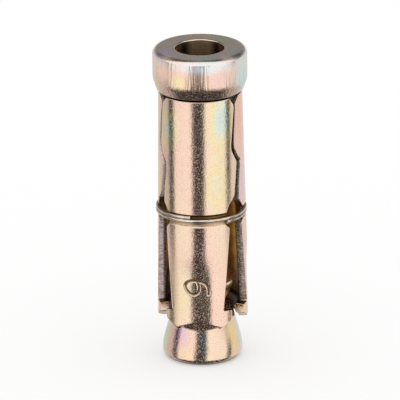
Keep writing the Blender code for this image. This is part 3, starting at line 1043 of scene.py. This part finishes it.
def make_world():
    """White for the camera and the floor. Reflections see a white studio with dark flags instead."""
    world = bpy.data.worlds.new("studio")
    bpy.context.scene.world = world
    world.use_nodes = True
    graph = Graph(world.node_tree)
    background = world.node_tree.nodes["Background"]
    direction = graph.node("ShaderNodeTexCoord").outputs["Generated"]
    x, y, z = graph.node("ShaderNodeSeparateXYZ", {0: direction}).outputs
    azimuth = graph.math("ARCTAN2", x, graph.scaled(y, -1.0))
    azimuth = graph.scaled(azimuth, math.degrees(1), -CAMERA_AZIMUTH)
    elevation = graph.scaled(graph.math("ARCSINE", z), math.degrees(1))
    shifted = graph.math("ADD", azimuth, FLAG_SLANT * CAMERA_ELEVATION)
    slanted = graph.scaled(elevation, FLAG_SLANT, shifted)
    beside = graph.math("ABSOLUTE", azimuth)

    def between(value, fade):
        return graph.remap(value, *fade, smooth=True)

    around = graph.scaled(slanted, 1 / 360, 0.5)
    level = graph.ramp(around, [(0.5 + degrees / 360, grey(value)) for degrees, value in STUDIO_ROUND])
    up = graph.scaled(elevation, 1 / 90)
    back_high = graph.ramp(up, [(degrees / 90, grey(value)) for degrees, value in STUDIO_UP])
    high = graph.mix(between(beside, SIDE_FADE), grey(STUDIO_SIDE), back_high)
    low = graph.mix(between(beside, FLOOR_FADE), grey(FLOOR_BACK), grey(FLOOR_FRONT))
    flag_top = graph.scaled(beside, FLAG_TOP_FALL, elevation)
    lit = graph.mix(between(flag_top, FLAG_TOP_FADE), level, high)
    lit = graph.mix(between(elevation, HORIZON_FADE), lit, low)
    path = graph.node("ShaderNodeLightPath").outputs
    seen = graph.mix(path["Is Glossy Ray"], grey(1), lit)
    graph.feed(background, {"Color": seen, "Strength": 1})


def make_floor():
    """A plain white floor that keeps the anchor's soft shadow."""
    mesh = bpy.data.meshes.new("floor")
    end = FLOOR_HALF_SIZE
    mesh.from_pydata([(-end, -end, 0), (end, -end, 0), (end, end, 0), (-end, end, 0)], [], [(0, 1, 2, 3)])
    floor = link(bpy.data.objects.new("floor", mesh))
    material, graph, shader, _ = new_material("white_floor")
    path = graph.node("ShaderNodeLightPath").outputs
    seen = graph.math("ADD", path["Is Glossy Ray"], path["Is Transmission Ray"])
    seen = graph.math("ADD", path["Is Camera Ray"], seen)
    seen = graph.math("MINIMUM", seen, 1.0)
    colour = graph.mix(seen, grey(1), grey(FLOOR_TONE))
    glow = graph.scaled(seen, FLOOR_GLOW)
    graph.feed(shader, {"Base Color": colour, "Emission Color": rgba(grey(1)), "Emission Strength": glow})
    graph.feed(shader, {"Roughness": 1, "Specular IOR Level": 0})
    mesh.materials.append(material)
    floor.visible_glossy = False


def shell_plates():
    """The plate of the front, right and left segments."""
    front = zinc_plate(
        "zinc_front",
        (0.003, 0.001, 0.002),
        patches=(
            ((3.2, -4.8, 35.2), 3.3, 6.8, -0.42),
            ((-4.2, -4.2, 33.6), 2.6, 4.4, -0.42),
            ((-1.6, -5.4, 37.0), 2.6, 3.4, 0.14),
            ((-2.3, -5.1, 29.0), 2.8, 5.0, 0.12),
            ((2.2, -5.2, 26.6), 3.4, 5.4, -0.31),
            ((-2.2, -5.7, 9.6), 2.6, 6.0, -0.14),
            ((2.6, -5.4, 10.5), 2.8, 7.0, 0.14),
        ),
        # Painted shade: a brown stripe down the left side of the front leg.
        washes=(((-3.2, -4.5, 10.5), 1.15, 13.0, (0.50, 0.35, 0.23), 0.85),),
        spread=0.5,
        matt=(((-3.55, -4.4, 13.5), 2.2, 9.0, 0.6), ((4.0, -4.0, 15.0), 2.1, 12.0, 0.95)),
    )
    right = zinc_plate(
        "zinc_right",
        (0.02, 0.0, 0.0),
        patches=(((0, 0, 30), 40, 40, 0.25),),
        washes=(
            ((5.3, -1.8, 35.5), 3.0, 6.5, (0.95, 0.58, 0.40), 0.85),
            ((5.3, -1.8, 25.5), 3.0, 6.0, (0.84, 0.64, 0.68), 0.7),
        ),
        spread=0.8,
    )
    left = zinc_plate(
        "zinc_left",
        (0.0, 0.03, 0.01),
        patches=(((0, 0, 30), 40, 40, -0.05),),
        washes=(((-5.6, -0.8, 33.0), 1.8, 9.0, (0.70, 0.66, 0.50), 0.75),),
    )
    return front, right, left


def collar_plate():
    """The ferrule's plate: greyish towards the top, pink, yellow, green and blue in places, and a painted
    highlight round its rim, whitest and bluish at the front.
    """
    return zinc_plate(
        "zinc_collar",
        (0.04, 0.0, 0.01),
        patches=(
            ((-5.6, -2.8, 39.6), 2.0, 1.8, -0.2),
            ((-2.2, -6.0, 40.6), 2.2, 2.4, -0.16),
            ((3.0, -5.6, 40.4), 2.4, 2.4, 0.1),
        ),
        washes=(
            ((0, 0, 44.6), EVERYWHERE, 1.3, (0.74, 0.74, 0.73), 0.7),
            # Painted highlight round the rim, whitest and bluish at the front.
            ((0, 0, 43.2), EVERYWHERE, 1.1, (0.82, 0.80, 0.78), 0.5),
            ((1.2, -6.0, 43.1), 5.6, 1.5, (0.85, 0.89, 0.93), 1.0),
            ((6.1, -2.2, 41.0), 3.4, 5.0, (0.62, 0.76, 0.74), 1.0),
            ((-6.3, -0.4, 41.4), 1.8, 2.2, (0.66, 0.76, 0.72), 0.8),
            ((-2.4, -5.9, 40.9), 1.7, 1.6, (0.92, 0.76, 0.42), 0.9),
            ((-0.3, -6.4, 41.0), 1.3, 1.6, (0.88, 0.66, 0.42), 0.7),
            ((3.0, -5.7, 41.6), 2.0, 2.0, (0.90, 0.60, 0.58), 0.6),
            ((-4.6, -2.4, 44.0), 2.2, 2.2, (0.84, 0.70, 0.86), 1.0),
            ((-1.0, 5.0, 44.0), 3.0, 3.0, (0.90, 0.68, 0.50), 1.0),
            ((3.4, 4.0, 44.0), 2.4, 2.4, (0.76, 0.76, 0.50), 1.0),
            ((5.0, -1.0, 44.0), 2.0, 2.0, (0.70, 0.76, 0.66), 0.9),
            ((1.5, -5.0, 44.0), 2.4, 2.4, (0.70, 0.76, 0.64), 0.9),
        ),
        roughness=0.15,
        tilt=0.45,
        turned=True,
        spread=0.9,
        matt_pits=0.8,
        matt=(
            ((0, 0, 42.0), EVERYWHERE, 2.6, 0.34),
            ((-4.4, -4.6, 42.0), 2.2, 3.2, 0.7),
            ((4.4, -4.7, 42.0), 2.2, 3.4, 0.8),
            ((0.2, -6.3, 43.1), 2.2, 1.2, 0.45),
        ),
    )


def nut_plate():
    """The nut's plate: painted golden-orange shade under its head, yellow at the right front and blue-green
    at the far right.
    """
    return zinc_plate(
        "zinc_nut",
        (0.0, 0.05, 0.03),
        patches=(
            ((-5.4, -1.2, 3.0), 2.6, 9.0, -0.6),
            ((5.6, 0.2, 3.0), 1.9, 9.0, -0.5),
            ((4.4, -2.6, 4.0), 2.4, 6.0, -0.16),
            ((-2.6, -4.6, 4.4), 3.2, 3.8, 0.32),
            ((2.6, -4.4, 4.6), 2.2, 2.6, 0.1),
        ),
        washes=(
            # Painted shade, golden orange, under the head where the segments enclose the nut.
            ((0, 0, 8.8), EVERYWHERE, 2.8, (0.66, 0.38, 0.08), 1.0),
            ((4.4, -2.7, 4.2), 2.0, 5.0, (0.92, 0.68, 0.34), 0.95),
            ((5.4, -0.5, 3.2), 1.7, 6.0, (0.64, 0.76, 0.73), 0.95),
            ((-4.9, -2.2, 4.0), 1.2, 5.0, (0.92, 0.78, 0.42), 0.8),
            ((-1.9, -5.0, 1.6), 2.2, 1.8, (0.93, 0.70, 0.46), 0.8),
            ((0.5, -4.9, 3.4), 1.0, 6.0, (0.60, 0.63, 0.70), 0.7),
        ),
        spread=0.8,
        pits_from=0.55,
        matt_pits=0.4,
        matt=(((3.7, -3.4, 4.8), 1.7, 3.2, 0.9), ((3.9, -2.2, 8.9), 2.0, 1.4, 0.9)),
    )


def sheared_faces():
    """The sheared edges of the front, right and left segments."""
    speckled = sheared_zinc(
        "sheared_speckled",
        ((0.11, 0.09, 0.07), (0.34, 0.30, 0.23), (0.86, 0.82, 0.72)),
        ((0.40, 0.35, 0.31), (0.70, 0.63, 0.58), (1.0, 0.94, 0.92)),
        torn_inside=5.42 * MM,
        shelter=1.0 * MM,
        metallic=0.8,
    )
    toothed = sheared_zinc(
        "sheared_toothed",
        ((0.04, 0.03, 0.02), (0.13, 0.10, 0.08), (0.38, 0.31, 0.25)),
        ((0.50, 0.33, 0.34), (0.93, 0.74, 0.76), (1.0, 0.94, 0.95)),
        torn_inside=5.1 * MM,
        shelter=0.4 * MM,
        metallic=0.5,
    )
    return toothed, speckled, toothed


def recess_face():
    """The segments' inner faces, groove and neck: golden, with painted shade towards the feet, in the
    groove, in the notches beside it and in the corners.
    """
    return dull_zinc(
        "sheltered_face",
        (0.78, 0.43, 0.05),
        (0.38, 0.19, 0.02),
        0.33,
        washes=(
            # Painted shade, darker towards the feet; the second wash deepens the first.
            ((0, 0, 5.0), EVERYWHERE, 12.0, PAINTED_FOOT_SHADE, 1.0),
            ((0, 0, 5.0), EVERYWHERE, 8.5, PAINTED_FOOT_SHADE, 1.0),
            # Painted shade in the groove behind the wire.
            ((-0.6, -5.4, 21.7), 7.0, 2.0, (0.22, 0.145, 0.07), 0.95),
            ((0, -5.5, 20.5), 9.0, 0.75, (0.78, 0.60, 0.42), 0.9),
            # Painted shade in the notches beside the wire at the left and right.
            ((-5.1, -1.6, 22.8), 2.8, 4.2, (0.13, 0.08, 0.05), 1.0),
            ((5.4, -1.6, 22.2), 2.2, 3.2, (0.14, 0.085, 0.055), 1.0),
            # Painted shade in the corners at the tops of the seams.
            ((-4.4, -2.4, 38.0), 1.9, 2.2, PAINTED_CORNER_SHADE, 1.0),
            ((4.5, -2.4, 38.0), 1.9, 2.2, PAINTED_CORNER_SHADE, 1.0),
        ),
    )


def bore_face():
    """The holes of the ferrule and the nut, with painted shade, dark and reddish, and a small painted
    reddish glint in the ferrule's.
    """
    return dull_zinc(
        "bore_face",
        (0.56, 0.43, 0.26),
        (0.34, 0.24, 0.14),
        0.5,
        washes=(
            # Painted shade, dark and reddish, on the sides of the ferrule's hole.
            ((-2.3, 2.4, 42.8), 1.6, 3.4, PAINTED_CORNER_SHADE, 1.0),
            ((2.1, 2.7, 42.8), 1.4, 3.4, PAINTED_CORNER_SHADE, 1.0),
            ((-3.2, 0.8, 42.8), 1.7, 3.4, (0.16, 0.04, 0.015), 1.0),
            ((3.2, 1.2, 42.8), 1.6, 3.4, (0.14, 0.035, 0.015), 1.0),
            # A small painted reddish glint at the hole's left rim.
            ((-3.2, 0.9, 43.3), 0.6, 0.6, (0.80, 0.40, 0.25), 0.8),
        ),
    )


def main():
    """Builds the scene."""
    bpy.context.scene.view_settings.view_transform = "Standard"
    bore = bore_face()
    make_ferrule(collar_plate(), bore)
    make_segments(shell_plates(), sheared_faces(), recess_face())
    make_wire_ring(wire_finish())
    make_cone_nut(nut_plate(), bore)
    make_floor()
    make_world()
    make_camera()


main()
